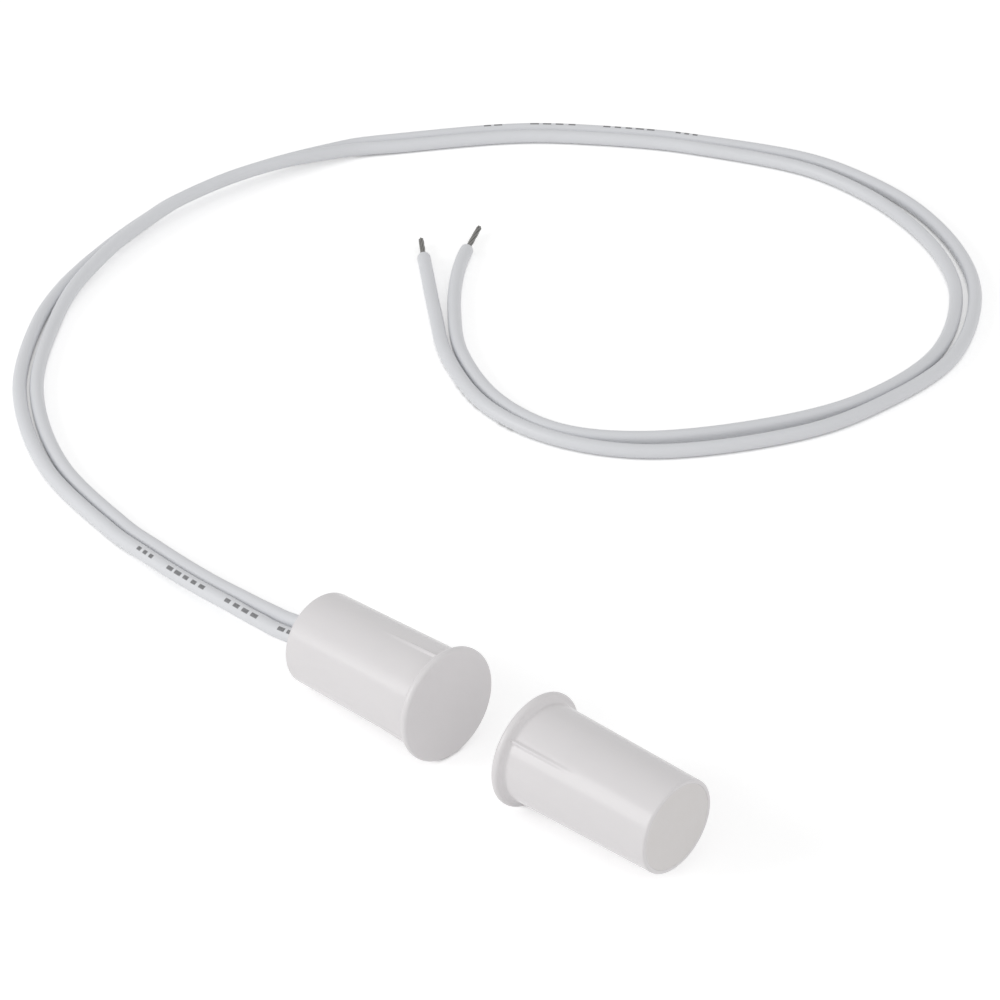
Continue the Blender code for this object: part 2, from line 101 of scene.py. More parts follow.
# Skin of the resin: height and reach of its climb up the cup's wall and up the leads
WALL_CLIMB = (0.045 * MM, 0.25 * MM)
LEAD_CLIMB = (0.13 * MM, 0.17 * MM)

# Camera of the photograph: focal length and film width in mm, turns in degrees and place in metres
LENS = 156.04
FILM = 36.0
CAMERA_TURNS = ((41.880, "Z"), (56.480, "X"), (0.333, "Z"))
CAMERA_SPOT = (0.20752, -0.23016, 0.23475)

# Light: where the lamp aims and from which side, and how the backdrop brightens towards a direction
LAMP_AIM = (0.0, 0.0, 0.005)
LAMP_SIDE = (-0.53, -0.73, 0.42)
SKY_SLOPE = (0.25, -0.07, -0.13)

# Floor: its two tones, the glow that whitens it, and the reach and strength of the painted shade that
# keeps the small gaps dark, where ambient occlusion cuts the glow
FLOOR_TONES = (0.88, 0.90)
FLOOR_GLOW = 0.44
PAINTED_SHADE_REACH = 0.45 * MM
PAINTED_SHADE_GAIN = 1.7
WHITE = (1.0, 1.0, 1.0, 1.0)


# ---------------------------------------------------------------- sizes and colours a user would change

def length(name, description, default):
    return bpy.props.FloatProperty(name=name, description=description, default=default,
                                   min=0.0, precision=5, subtype="DISTANCE", unit="LENGTH")


def angle(name, description, degrees):
    return bpy.props.FloatProperty(name=name, description=description, default=math.radians(degrees),
                                   subtype="ANGLE", unit="ROTATION")


def place(name, description, default):
    return bpy.props.FloatVectorProperty(name=name, description=description, default=default,
                                         size=2, precision=6, subtype="XYZ", unit="LENGTH")


def share(name, description, default):
    return bpy.props.FloatProperty(name=name, description=description, default=default,
                                   min=0.0, max=1.0, subtype="FACTOR")


def colour(name, description, default):
    return bpy.props.FloatVectorProperty(name=name, description=description, default=default,
                                         size=3, min=0.0, max=1.0, subtype="COLOR")


class CupSizes(bpy.types.PropertyGroup):
    """The moulded cup, the same for both halves"""
    cup_length: length("Cup length", "From the flange's face to the open end", 16.85 * MM)
    flange_radius: length("Flange radius", "Outer radius of the flange", 5.51 * MM)
    flange_thickness: length("Flange thickness", "Thickness of the flange at its rim", 0.8 * MM)
    rim_round: length("Rim rounding", "Rounding of the rim's two edges", 0.35 * MM)
    flare_length: length("Flare length", "Length of the curve from the flange to the neck", 0.35 * MM)
    neck_radius: length("Neck radius", "Radius of the body behind the flange", 4.76 * MM)
    end_radius: length("End radius", "Radius of the body at its open end", 4.5 * MM)
    end_round: length("End rounding", "Rounding of the open end's outer edge", 0.2 * MM)
    lip_round: length("Lip rounding", "Rounding of the open end's inner edge", 0.05 * MM)
    bore_radius: length("Bore radius", "Radius of the bore that holds the resin", 4.1 * MM)
    front_wall: length("Front wall", "Thickness of the closed front", 1.2 * MM)
    rib_length: length("Rib length", "Where the crush ribs end, from the face", 8.0 * MM)
    rib_height: length("Rib height", "Height of a crush rib at the flange", 0.24 * MM)
    rib_half_angle: angle("Rib half angle", "Half the angle that a rib takes up", 3.6)
    rib_count: bpy.props.IntProperty(name="Rib count", description="Crush ribs on each cup",
                                     default=3, min=1)
    switch_rib: angle("Switch rib", "Angle of the switch half's first rib", 162.0)
    magnet_rib: angle("Magnet rib", "Angle of the magnet half's first rib", 131.0)
    switch_face: place("Switch face", "Middle of the switch half's face on the floor",
                       (-4.54 * MM, -0.265 * MM))
    switch_yaw: angle("Switch yaw", "Turn of the switch half's axis on the floor", 2.92)
    switch_roll: angle("Switch roll", "Roll of the switch half about its own axis", 20.0)
    magnet_face: place("Magnet face", "Middle of the magnet half's face on the floor",
                       (5.04 * MM, 0.065 * MM))
    magnet_yaw: angle("Magnet yaw", "Turn of the magnet half's axis on the floor", -0.33)
    magnet_tilt: angle("Magnet tilt", "Fall of the magnet half's axis, which lies level", 0.0)
    middle: place("Middle", "Middle of the box round the two halves, which is the origin",
                  (0.1167 * MM, -0.0886 * MM))
    resin_depth: length("Resin depth", "How far the resin's face lies inside the open end", 0.1 * MM)
    lead_spacing: length("Lead spacing", "Between the two leads where they leave the resin", 1.7 * MM)


class LeadSizes(bpy.types.PropertyGroup):
    """The two insulated leads and their bare ends"""
    wire_radius: length("Wire radius", "Outer radius of the insulation", 0.725 * MM)
    floor_height: length("Floor height", "Height of a lying lead's centreline", 0.74 * MM)
    start_depth: length("Start depth", "Where the insulation starts inside the cup", 14.77 * MM)
    cut_round: length("Cut rounding", "Rounding of the insulation's cut end", 0.4 * MM)
    strand_radius: length("Strand radius", "Radius of one bare strand", 0.1 * MM)
    strand_twist: angle("Strand twist", "Turn of the strands along a bare end", 200.0)
    mark_height: length("Mark height", "Height of a printed mark round the wire", 0.42 * MM)
    legend_pitch: length("Legend pitch", "Distance after which the printed marks repeat", 137.5 * MM)


class FinishColours(bpy.types.PropertyGroup):
    """Base colours, linear"""
    plastic: colour("Plastic", "Moulded white plastic of the cups", (0.835, 0.813, 0.821))
    resin: colour("Resin", "Cast resin in the open ends", (0.785, 0.765, 0.762))
    jacket: colour("Jacket", "Insulation of the leads", (0.79, 0.80, 0.825))
    ink: colour("Ink", "Marks printed on lead A", (0.13, 0.13, 0.135))
    metal: colour("Tinned metal", "Bare ends of the leads", (0.25, 0.245, 0.235))


class StageSettings(bpy.types.PropertyGroup):
    """Floor, lamp and backdrop"""
    floor_radius: length("Floor radius", "Radius of the floor", 3.0)
    sky: share("Sky", "Strength of the backdrop's light on the object", 0.70)
    lamp_power: bpy.props.FloatProperty(name="Lamp power", description="Power of the soft lamp",
                                        default=1.0, min=0.0, unit="POWER")
    lamp_size: length("Lamp size", "Side of the square lamp", 0.30)
    lamp_distance: length("Lamp distance", "From the object's middle to the lamp", 0.60)


# ---------------------------------------------------------------- node trees as Python expressions

class Flow:
    """A node socket in a tree. Maths on it adds Math nodes to the tree."""

    def __init__(self, tree, socket=None):
        self.tree = tree
        self.socket = socket

    def node(self, kind, settings=None, values=None, out=0):
        """Any other node: its settings are set first, then its sockets get values or links."""
        made = self.tree.nodes.new(kind)
        for name, value in (settings or {}).items():
            setattr(made, name, value)
        for name, value in (values or {}).items():
            socket = made.inputs[name]
            if isinstance(value, Flow):
                self.tree.links.new(value.socket, socket)
            else:
                socket.default_value = value
        return Flow(self.tree, made.outputs[out])

    def output(self, name):
        """Another output of the same node."""
        return Flow(self.tree, self.socket.node.outputs[name])

    def math(self, operation, *others, clamp=False):
        values = dict(enumerate((self, *others)))
        return self.node("ShaderNodeMath", {"operation": operation, "use_clamp": clamp}, values)

    def vector(self, operation, other):
        values = {"Scale": other} if operation == "SCALE" else {1: other}
        return self.node("ShaderNodeVectorMath", {"operation": operation}, {0: self, **values})

    def mix(self, low, high):
        """Colour between low and high, with this socket as the factor."""
        pick = {"data_type": "RGBA"}
        return self.node("ShaderNodeMix", pick, {0: self, 6: low, 7: high}, out=2)

    def swapped(self, operation, first):
        return self.node("ShaderNodeMath", {"operation": operation}, {0: first, 1: self})

    def __add__(self, other):
        return self.math("ADD", other)

    __radd__ = __add__

    def __mul__(self, other):
        return self.math("MULTIPLY", other)

    __rmul__ = __mul__

    def __sub__(self, other):
        return self.math("SUBTRACT", other)

    def __rsub__(self, other):
        return self.swapped("SUBTRACT", other)

    def __truediv__(self, other):
        return self.math("DIVIDE", other)

    def __rtruediv__(self, other):
        return self.swapped("DIVIDE", other)

    def __pow__(self, other):
        return self.math("POWER", other)

    def __gt__(self, other):
        return self.math("GREATER_THAN", other)

    def __lt__(self, other):
        return self.math("LESS_THAN", other)


def directly_seen(flow):
    """1 where the camera sees the surface, also in a reflection or through glass, and 0 for its light."""
    ray = flow.node("ShaderNodeLightPath", out="Is Camera Ray")
    return (ray + ray.output("Is Glossy Ray") + ray.output("Is Transmission Ray")).math("MINIMUM", 1.0)


def rgba(tone, factor=1.0):
    """A colour times a factor, at most 1, with full alpha."""
    return (*(min(1.0, part * factor) for part in tone), 1.0)


class Finish:
    """A material in the making: its tree, places on the object, and its one shader."""

    def __init__(self, name):
        self.material = bpy.data.materials.new(name)
        self.material.use_nodes = True
        self.tree = self.material.node_tree
        self.shader = self.tree.nodes["Principled BSDF"]
        self.flow = Flow(self.tree)

    def place(self, per_mm=1.0, stretch=(1.0, 1.0, 1.0)):
        """Object coordinates, as a number of pattern units for each millimetre."""
        spot = self.flow.node("ShaderNodeTexCoord", out="Object")
        factor = per_mm / MM
        return spot.vector("MULTIPLY", tuple(factor * part for part in stretch))

    def noise(self, place, detail=2.0, roughness=0.5):
        return self.flow.node("ShaderNodeTexNoise", {}, {"Vector": place, "Scale": 1.0, "Detail": detail,
                                                         "Roughness": roughness}, out="Fac")

    def bump(self, height, depth, below=None):
        """Surface relief of that depth in metres."""
        values = {"Height": height, "Strength": 1.0, "Distance": depth}
        if below is not None:
            values["Normal"] = below
        return self.flow.node("ShaderNodeBump", {}, values, out="Normal")

    def set(self, **values):
        """Numbers, colours or links for the shader's sockets."""
        for name, value in values.items():
            socket = self.shader.inputs[name.replace("_", " ")]
            if isinstance(value, Flow):
                self.tree.links.new(value.socket, socket)
            else:
                socket.default_value = value
        return self.material


def moulded_plastic(tone):
    """White satin plastic with faint clouding, flow marks and a fine orange peel."""
    finish = Finish("moulded white plastic")
    cloud = finish.noise(finish.place(0.22), 3.0)
    flow_marks = finish.noise(finish.place(0.9, (0.25, 1.0, 1.0)), 2.0)
    peel = finish.noise(finish.place(3.2), 2.0)
    specks = finish.noise(finish.place(14.0), 3.0)
    shade = cloud * 0.7 + flow_marks * 0.3
    return finish.set(
        Base_Color=shade.math("SUBTRACT", 0.2, clamp=True).mix(rgba(tone, 0.965), rgba(tone, 1.02)),
        Roughness=0.16 + cloud * 0.06 + specks * 0.05,
        Normal=finish.bump(specks, 0.0012 * MM, finish.bump(peel, 0.006 * MM)),
        IOR=1.39,
    )


def cast_resin(tone):
    """Off-white resin, poured and set: slightly wavy, with small bubbles and a warmer tint in patches."""
    finish = Finish("cast resin")
    patch = finish.noise(finish.place(0.5), 3.0)
    grain = finish.noise(finish.place(9.0), 4.0, 0.6)
    bubbles = finish.flow.node("ShaderNodeTexVoronoi", {"feature": "F1"},
                               {"Vector": finish.place(2.4), "Scale": 1.0}, out="Distance")
    pits = bubbles < 0.09
    warm = rgba((tone[0] * 0.985, tone[1] * 0.97, tone[2] * 0.955))
    return finish.set(
        Base_Color=(patch * 0.75 + grain * 0.25).mix(warm, rgba(tone, 1.03)),
        Roughness=0.42 + patch * 0.16 + pits * 0.1,
        Normal=finish.bump(grain * 0.15 + patch - pits * 0.3, 0.05 * MM),
    )


def pvc_jacket(name, tone, ink=None, sizes=None):
    """Soft PVC insulation with fine drawing lines, and on one lead a row of small printed dashes."""
    finish = Finish(name)
    uv = finish.flow.node("ShaderNodeUVMap", {"uv_map": "run"})
    parts = uv.node("ShaderNodeSeparateXYZ", {}, {0: uv})
    along, around = parts, parts.output("Y")
    lines = finish.flow.node("ShaderNodeCombineXYZ", {},
                             {"X": along * 45.0, "Y": around * 60.0, "Z": 0.0})
    drawn = finish.noise(lines, 3.0)
    cloud = finish.noise(finish.place(0.16), 3.0)
    grain = finish.noise(finish.place(7.0), 3.0)
    base = (cloud * 0.6 + drawn * 0.4).mix(rgba(tone, 0.955), rgba(tone, 1.035))
    rough = 0.36 + cloud * 0.08 + grain * 0.06
    if ink is not None:
        mm_along = along / MM
        local = mm_along.math("MODULO", sizes.legend_pitch / MM)
        in_group = cell = 0.0
        for start, pitch, count in MARKS:
            since = (local - start) / pitch
            inside = (since > 0.0) * (since < float(count))
            in_group = inside + in_group
            cell = inside * (since + 10.0 * start) + cell
        toss = finish.flow.node("ShaderNodeTexWhiteNoise", {"noise_dimensions": "1D"},
                                {"W": cell.math("FLOOR")}, out="Value")
        from_middle = (cell.math("FRACT") - 0.5).math("ABSOLUTE")
        reach = 0.27 + toss * 0.12
        ring = 2 * math.pi * sizes.wire_radius
        height = (around - 0.5).math("ABSOLUTE") * (ring / sizes.mark_height) * 2.0
        edge, side_edge = 0.05, 0.35
        wide = ((reach - from_middle) / edge).math("ADD", 0.5, clamp=True)
        tall = ((1.0 - height) / side_edge).math("ADD", 0.5, clamp=True)
        fade = 0.62 + grain * 0.5
        mark = (wide * tall * in_group).math("MULTIPLY", fade, clamp=True)
        base = mark.mix(base, rgba(ink))
        rough = rough + mark * 0.12
    relief = finish.bump(grain, 0.0015 * MM, finish.bump(drawn, 0.004 * MM))
    return finish.set(Base_Color=base, Roughness=rough, Normal=relief, IOR=1.5)


def drawn_metal(name, tone, rough, spread, grain_per_mm):
    """Bare metal with drawing streaks, small dull spots and uneven gloss."""
    finish = Finish(name)
    streak = finish.noise(finish.place(grain_per_mm), 4.0, 0.65)
    dull = finish.noise(finish.place(1.3), 3.0)
    shade = (streak * 0.6 + dull * 0.4).math("SUBTRACT", 0.12, clamp=True)
    return finish.set(
        Base_Color=shade.mix(rgba(tone, 1.0 - spread), rgba(tone, 1.0 + spread)),
        Roughness=rough - 0.06 + streak * 0.2,
        Metallic=1.0,
        Normal=finish.bump(streak, 0.004 * MM),
    )


def green_glass():
    """Clear glass with a faint green tint and drawn waviness."""
    finish = Finish("green glass")
    wave = finish.noise(finish.place(0.7), 2.0)
    return finish.set(
        Base_Color=wave.mix(rgba((0.60, 0.71, 0.65)), rgba((0.70, 0.80, 0.74))),
        Roughness=0.04 + wave * 0.05,
        Normal=finish.bump(wave, 0.01 * MM),
        Transmission_Weight=0.85,
        IOR=1.5,
    )


# ---------------------------------------------------------------- meshes

def plain_object(name, bm, material):
    """A shaded object in the scene from a bmesh, which is used up."""
    mesh = bpy.data.meshes.new(name)
    bm.to_mesh(mesh)
    bm.free()
    mesh.materials.append(material)
    mesh.shade_smooth()
    mesh.set_sharp_from_angle(angle=math.radians(SHARP))
    made = bpy.data.objects.new(name, mesh)
    bpy.context.scene.collection.objects.link(made)
    return made


def rounding(radius, depth, size, start, end, steps):
    """Points on a quarter circle about (radius, depth), angles from the outward radius towards depth."""
    turns = [math.radians(start + (end - start) * k / steps) for k in range(steps + 1)]
    return [(radius + size * math.cos(a), depth + size * math.sin(a)) for a in turns]


def revolve(profile, angles):
    """Turn a closed profile of (radius, depth) about local Z, its ends on the axis."""
    bm = bmesh.new()
    rings = []
    for radius, depth in profile:
        turns = angles if radius > 0.0 else angles[:1]
        rings.append([bm.verts.new((radius * math.cos(a), radius * math.sin(a), -depth)) for a in turns])
    count = len(angles)
    for upper, lower in zip(rings[:-1], rings[1:]):
        for j in range(count):
            k = (j + 1) % count
            if len(upper) == 1:
                bm.faces.new((upper[0], lower[j], lower[k]))
            elif len(lower) == 1:
                bm.faces.new((upper[j], lower[0], upper[k]))
            else:
                bm.faces.new((upper[j], lower[j], lower[k], upper[k]))
    bmesh.ops.recalc_face_normals(bm, faces=bm.faces)
    return bm


def half_matrix(cup, side):
    """Place of one half: local Z out of the flange's face. Side is 1 for the switch."""
    rim_depth = cup.flange_thickness - cup.rim_round
    rim = cup.flange_radius - cup.rim_round
    if side > 0:
        span = cup.cup_length - cup.end_round - rim_depth
        drop = rim - (cup.end_radius - cup.end_round)
        bulge = (cup.rim_round - cup.end_round) / math.hypot(drop, span)
        tilt = math.atan2(drop, span) + math.asin(bulge)
        (x, y), turn, roll = cup.switch_face, -cup.switch_yaw, cup.switch_roll
    else:
        tilt = cup.magnet_tilt
        (x, y), turn, roll = cup.magnet_face, math.pi + cup.magnet_yaw, 0.0
    height = cup.rim_round + rim_depth * math.sin(tilt) + rim * math.cos(tilt)
    spot = Vector((x - cup.middle[0], y - cup.middle[1], height))
    facing = Matrix.LocRotScale(spot, Euler((0.0, math.pi / 2 - tilt, turn)), None)
    return facing @ Matrix.Rotation(roll, 4, "Z")


def cup_profile(cup):
    """Flat face, rounded rim, hollow flare, tapered body, rounded open end, bore and front wall."""
    rim = cup.flange_radius - cup.rim_round
    body_start = cup.flange_thickness + cup.flare_length
    body_end = cup.cup_length - cup.end_round
    points = [(rim * k / 6, 0.0) for k in range(6)]
    points += rounding(rim, cup.rim_round, cup.rim_round, -90, 0, RIM_STEPS)
    points += rounding(rim, cup.flange_thickness - cup.rim_round, cup.rim_round, 0, 90, RIM_STEPS)
    step = rim - cup.neck_radius
    for k in range(1, FLARE_STEPS + 1):
        part = (k / FLARE_STEPS) ** 1.4
        radius = cup.neck_radius + step * (1 - part) ** 2.2
        points.append((radius, cup.flange_thickness + cup.flare_length * part))
    for k in range(1, BODY_STEPS + 1):
        part = k / BODY_STEPS
        radius = cup.neck_radius + (cup.end_radius - cup.neck_radius) * part
        points.append((radius, body_start + (body_end - body_start) * part))
    points += rounding(cup.end_radius - cup.end_round, body_end, cup.end_round, 0, 90, END_STEPS)[1:]
    lip = cup.lip_round
    points += rounding(cup.bore_radius + lip, cup.cup_length - lip, lip, 90, 180, LIP_STEPS)
    points += [(cup.bore_radius, cup.cup_length - cup.resin_depth * 3), (cup.bore_radius, cup.front_wall),
               (0.0, cup.front_wall)]
    return points


def rib_tree(cup, material):
    """Geometry Nodes tree that raises the crush ribs on a cup's body, tapering away from the flange."""
    tree = bpy.data.node_groups.new("crush ribs", "GeometryNodeTree")
    face = tree.interface
    face.new_socket("Geometry", in_out="INPUT", socket_type="NodeSocketGeometry")
    for name in ("Rib count", "Rib height", "Half angle", "Rib length", "First angle"):
        face.new_socket(name, in_out="INPUT", socket_type="NodeSocketFloat")
    face.new_socket("Geometry", in_out="OUTPUT", socket_type="NodeSocketGeometry")
    flow = Flow(tree)
    given = flow.node("NodeGroupInput")
    count, height = given.output("Rib count"), given.output("Rib height")
    half, reach = given.output("Half angle"), given.output("Rib length")
    spot = flow.node("GeometryNodeInputPosition")
    x = flow.node("ShaderNodeSeparateXYZ", {}, {0: spot})
    y, z = x.output("Y"), x.output("Z")
    radius = (x * x + y * y).math("SQRT")
    depth = 0.0 - z
    turn = y.math("ARCTAN2", x) - given.output("First angle")
    period = 2 * math.pi / count
    spread = (turn + period / 2).math("WRAP", period, 0.0) - period / 2
    spread = (spread.math("ABSOLUTE") / half).math("MINIMUM", 1.0)
    body_start = cup.flange_thickness + cup.flare_length
    body_end = cup.cup_length - cup.end_round
    along = ((depth - body_start) / (body_end - body_start)).math("ADD", 0.0, clamp=True)
    body = cup.neck_radius + along * (cup.end_radius - cup.neck_radius)
    fall = 1.0 - (depth - cup.flange_thickness) / (reach - cup.flange_thickness)
    rise = height * fall * (spread * (math.pi / 2)).math("COSINE") ** 2.0
    crest = (body + rise).math("MAXIMUM", radius)
    on_body = (radius > cup.bore_radius * 1.05) * (depth > cup.flange_thickness) * (depth < reach)
    on_body = on_body * (spread < 0.999)
    scale = crest / radius.math("MAXIMUM", 0.1 * MM)
    raised = flow.node("ShaderNodeCombineXYZ", {}, {"X": x * scale, "Y": y * scale, "Z": z})
    moved = flow.node("GeometryNodeSetPosition", {},
                      {"Geometry": given, "Selection": on_body, "Position": raised})
    real = flow.node("GeometryNodeRealizeInstances", {}, {"Geometry": moved})
    done = flow.node("GeometryNodeSetMaterial", {}, {"Geometry": real, "Material": material})
    tree.links.new(done.socket, tree.nodes.new("NodeGroupOutput").inputs[0])
    return tree


def grown(source, tree, values):
    """The source object's mesh after a Geometry Nodes tree, as a new plain mesh in the same object."""
    modifier = source.modifiers.new(tree.name, "NODES")
    modifier.node_group = tree
    names = {s.name: s.identifier for s in tree.interface.items_tree if s.in_out == "INPUT"}
    for name, value in values.items():
        modifier[names[name]] = value
    shown = source.evaluated_get(bpy.context.evaluated_depsgraph_get())
    mesh = bpy.data.meshes.new_from_object(shown)
    source.modifiers.clear()
    source.data = mesh
    mesh.name = source.name
    return source


def settle(piece, matrix, smooth=SHARP):
    """Put the piece's place into its mesh, and shade it."""
    piece.data.transform(matrix)
    piece.data.shade_smooth()
    piece.data.set_sharp_from_angle(angle=math.radians(smooth))
    return piece


def build_cup(name, cup, side, first_rib, material, tree):
    """One moulded cup, with finer sides where its ribs stand."""
    ribs = [first_rib + 2 * math.pi / cup.rib_count * k for k in range(cup.rib_count)]
    half = cup.rib_half_angle

    def away(a):
        return min(abs((a - rib + math.pi) % (2 * math.pi) - math.pi) for rib in ribs)

    angles = [2 * math.pi * k / CUP_SIDES for k in range(CUP_SIDES)]
    angles = [a for a in angles if away(a) > half * 1.12]
    for rib in ribs:
        angles += [(rib + half * k / RIB_STEPS) % (2 * math.pi) for k in range(-RIB_STEPS, RIB_STEPS + 1)]
    shell = plain_object(name, revolve(cup_profile(cup), sorted(angles)), material)
    values = {"Rib count": float(cup.rib_count), "Rib height": cup.rib_height, "Half angle": half,
              "Rib length": cup.rib_length, "First angle": first_rib}
    return settle(grown(shell, tree, values), half_matrix(cup, side))


def resin_face(name, cup, side, wires, wire_radius, material):
    """Skin of the poured resin: hollow in the middle, drawn up the bore's wall and round the leads."""
    outer = cup.bore_radius - 0.004 * MM
    level = cup.cup_length - cup.resin_depth
    hollow = level + 0.012 * MM
    back = level - 0.02 * MM
    turns = [2 * math.pi * j / RESIN_SIDES for j in range(RESIN_SIDES)]
    bm = bmesh.new()

    def face_depth(x, y):
        radius = math.hypot(x, y)
        climb = WALL_CLIMB[0] * math.exp(-(outer - radius) / WALL_CLIMB[1])
        for wx, wy in wires:
            gap = max(math.hypot(x - wx, y - wy) - wire_radius, 0.0)
            climb = max(climb, LEAD_CLIMB[0] * math.exp(-gap / LEAD_CLIMB[1]))
        ripple = 0.012 * MM * math.sin(x * 1900 + 0.7) * math.cos(y * 1500 - 0.4)
        return hollow + ripple * (1 - (radius / outer) ** 2) + climb

    rows = []
    for i in range(1, RESIN_RINGS + 1):
        radius = outer * (1 - (1 - i / RESIN_RINGS) ** 1.5)
        row = []
        for a in turns:
            x, y = radius * math.cos(a), radius * math.sin(a)
            row.append(bm.verts.new((x, y, -face_depth(x, y))))
        rows.append(row)
    middle = bm.verts.new((0.0, 0.0, -face_depth(0.0, 0.0)))
    under = [bm.verts.new((outer * math.cos(a), outer * math.sin(a), -back)) for a in turns]
    base = bm.verts.new((0.0, 0.0, -back))
    rows.append(under)
    for j in range(RESIN_SIDES):
        k = (j + 1) % RESIN_SIDES
        bm.faces.new((middle, rows[0][k], rows[0][j]))
        for near, far in zip(rows[:-1], rows[1:]):
            bm.faces.new((near[j], near[k], far[k], far[j]))
        bm.faces.new((base, under[j], under[k]))
    bmesh.ops.recalc_face_normals(bm, faces=bm.faces)
    return settle(plain_object(name, bm, material), half_matrix(cup, side))


def smooth_route(rows, steps):
    """Smooth curve through a list of rows, by cubic pieces that match slopes."""
    pts = np.array(rows, dtype=float)
    ext = np.vstack([2 * pts[0] - pts[1], pts, 2 * pts[-1] - pts[-2]])
    gaps = np.sqrt(np.linalg.norm(np.diff(ext[:, :2], axis=0), axis=1))
    t = np.concatenate([[0.0], np.cumsum(gaps)])
    out = []
    for i in range(1, len(ext) - 2):
        h0, h1, h2 = t[i] - t[i - 1], t[i + 1] - t[i], t[i + 2] - t[i + 1]
        before, here, there, after = ext[i - 1:i + 3]
        m1 = (there - here) + h1 * ((here - before) / h0 - (there - before) / (h0 + h1))
        m2 = (there - here) + h1 * ((after - there) / h2 - (after - here) / (h1 + h2))
        for k in range(steps):
            u = k / steps
            out.append((2 * u ** 3 - 3 * u ** 2 + 1) * here + (u ** 3 - 2 * u ** 2 + u) * m1
                       + (-2 * u ** 3 + 3 * u ** 2) * there + (u ** 3 - u ** 2) * m2)
    out.append(pts[-1])
    return np.array(out)


def run_lengths(points):
    """Length from the first point to each point."""
    return np.concatenate([[0.0], np.cumsum(np.linalg.norm(np.diff(points, axis=0), axis=1))])


def resample(points, step):
    """Points at equal steps along a line of points."""
    lengths = run_lengths(points)
    at = np.linspace(0.0, lengths[-1], max(2, int(round(lengths[-1] / step)) + 1))
    return np.stack([np.interp(at, lengths, points[:, k]) for k in range(3)], axis=1)


def on_floor(cup, row):
    """A row of the route in metres, moved with the pair's middle."""
    return [row[0] * MM - cup.middle[0], row[1] * MM - cup.middle[1], *(v * MM for v in row[2:])]


def lead_route(cup, leads, side, ending):
    """Centreline of one lead, as in the part but finer. Side is -1 for A and 1 for B."""
    pair = smooth_route([on_floor(cup, row) for row in PAIR], 16)
    run = np.gradient(pair[:, :2], axis=0)
    run /= np.linalg.norm(run, axis=1)[:, None]
    right = np.stack([run[:, 1], -run[:, 0]], axis=1)
    line = pair[:, :3].copy()
    line[:, :2] += side * right * pair[:, 3:4]
    if side > 0:
        line[:, 2] += np.maximum(pair[:, 4], 0.0)
    line[:, 2] = np.maximum(line[:, 2], leads.floor_height)
    place = half_matrix(cup, 1)
    start = place @ Vector((0.0, side * cup.lead_spacing / 2, -leads.start_depth))
    mouth = place @ Vector((0.0, side * cup.lead_spacing / 2, -(cup.cup_length + 0.3 * MM)))
    tail = [on_floor(cup, p) for p in ending]
    curve = smooth_route(np.vstack([[list(mouth)], line[::16], tail]), 24)
    curve[:, 2] = np.maximum(curve[:, 2], leads.floor_height)
    return resample(np.vstack([[list(start)], curve]), ROUTE_STEP)


def lead_tube(name, route, leads, lean, material):
    """Tube along the route, with a rounded cut end that is hollow round the conductor.

    Its UVs run in metres along the lead and from 0 to 1 round it."""
    radius = leads.wire_radius
    lengths = run_lengths(route)
    tangents = np.gradient(route, axis=0)
    tangents /= np.linalg.norm(tangents, axis=1)[:, None]
    last = len(route) - 1
    stations = [(0, 0.0, radius * 0.6)]
    stations += [(i, 0.0, radius) for i in range(last - 1)
                 if lengths[last] - lengths[i] > leads.cut_round]
    for k in range(CUT_STEPS + 1):
        a = math.radians(90 * k / CUT_STEPS)
        stations.append((last, -leads.cut_round * (1 - math.sin(a)),
                         radius - leads.cut_round * 0.8 * (1 - math.cos(a))))
    hole = 0.33 * MM
    stations += [(last, 0.0, radius * 0.62), (last, -0.03 * MM, hole + 0.03 * MM),
                 (last, -0.1 * MM, hole), (last, -0.6 * MM, hole)]
    turns = [2 * math.pi * j / LEAD_SIDES for j in range(LEAD_SIDES)]
    bm = bmesh.new()
    rings, runs = [], []
    up = Vector((0.0, 0.0, 1.0))
    for i, shift, size in stations:
        forward = Vector(tangents[i])
        left = up.cross(forward).normalized()
        over = forward.cross(left).normalized()
        spot = Vector(route[i]) + forward * shift
        rings.append([bm.verts.new(spot + (over * math.cos(a) + left * math.sin(a)) * size)
                      for a in turns])
        runs.append(lengths[i] + shift)
    faces = []
    for i, (near, far) in enumerate(zip(rings[:-1], rings[1:])):
        for j in range(LEAD_SIDES):
            k = (j + 1) % LEAD_SIDES
            faces.append((bm.faces.new((near[j], near[k], far[k], far[j])), i, j))
    front = bm.faces.new(rings[0])
    back = bm.faces.new(rings[-1])
    layer = bm.loops.layers.uv.new("run")
    lean_at = np.interp(runs, [at * MM for at, _ in lean], [degrees / 360.0 for _, degrees in lean])
    for face, i, j in faces:
        corners = ((i, j), (i, j + 1), (i + 1, j + 1), (i + 1, j))
        for loop, (row, column) in zip(face.loops, corners):
            # The row of marks lies at 0.5, and lean says how far it turns to the lead's left
            loop[layer].uv = (runs[row], column / LEAD_SIDES - lean_at[row] + 0.5)
    shift_back(faces, layer)
    for face, row in ((front, 0), (back, -1)):
        for loop in face.loops:
            loop[layer].uv = (runs[row], 0.0)
    bmesh.ops.recalc_face_normals(bm, faces=bm.faces)
    return plain_object(name, bm, material)


def shift_back(faces, layer):
    """Bring each face's place round the wire into one turn, from 0 to 1."""
    for face, _, _ in faces:
        middle = sum(loop[layer].uv[1] for loop in face.loops) / 4
        whole = math.floor(middle)
        for loop in face.loops:
            loop[layer].uv = (loop[layer].uv[0], loop[layer].uv[1] - whole)


